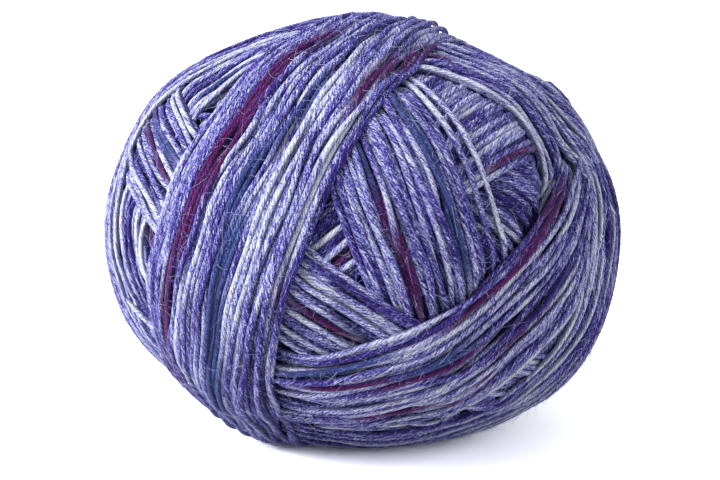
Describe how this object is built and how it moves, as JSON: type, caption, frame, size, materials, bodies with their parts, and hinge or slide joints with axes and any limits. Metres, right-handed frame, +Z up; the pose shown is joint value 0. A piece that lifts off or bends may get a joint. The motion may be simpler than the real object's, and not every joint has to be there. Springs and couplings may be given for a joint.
{
  "type": "ball of sock yarn",
  "caption": "Hand-wound ball of fine plied wool yarn, a slightly flattened, uneven round ball with broad raised bands of parallel turns crossing at different angles.",
  "frame": {"origin": "middle of the small flat spot that the ball rests on", "axes": "+Z up from the flat spot, +X along the widest way across the ball, -Y towards the front"},
  "size_m": [0.0953, 0.0863, 0.0801],
  "materials": {
    "wool_yarn": "soft matt plied wool, dyed violet with short white, steel blue and burgundy runs"
  },
  "bodies": {
    "root": {"yarn_ball": "wool_yarn"}
  },
  "joints": []
}
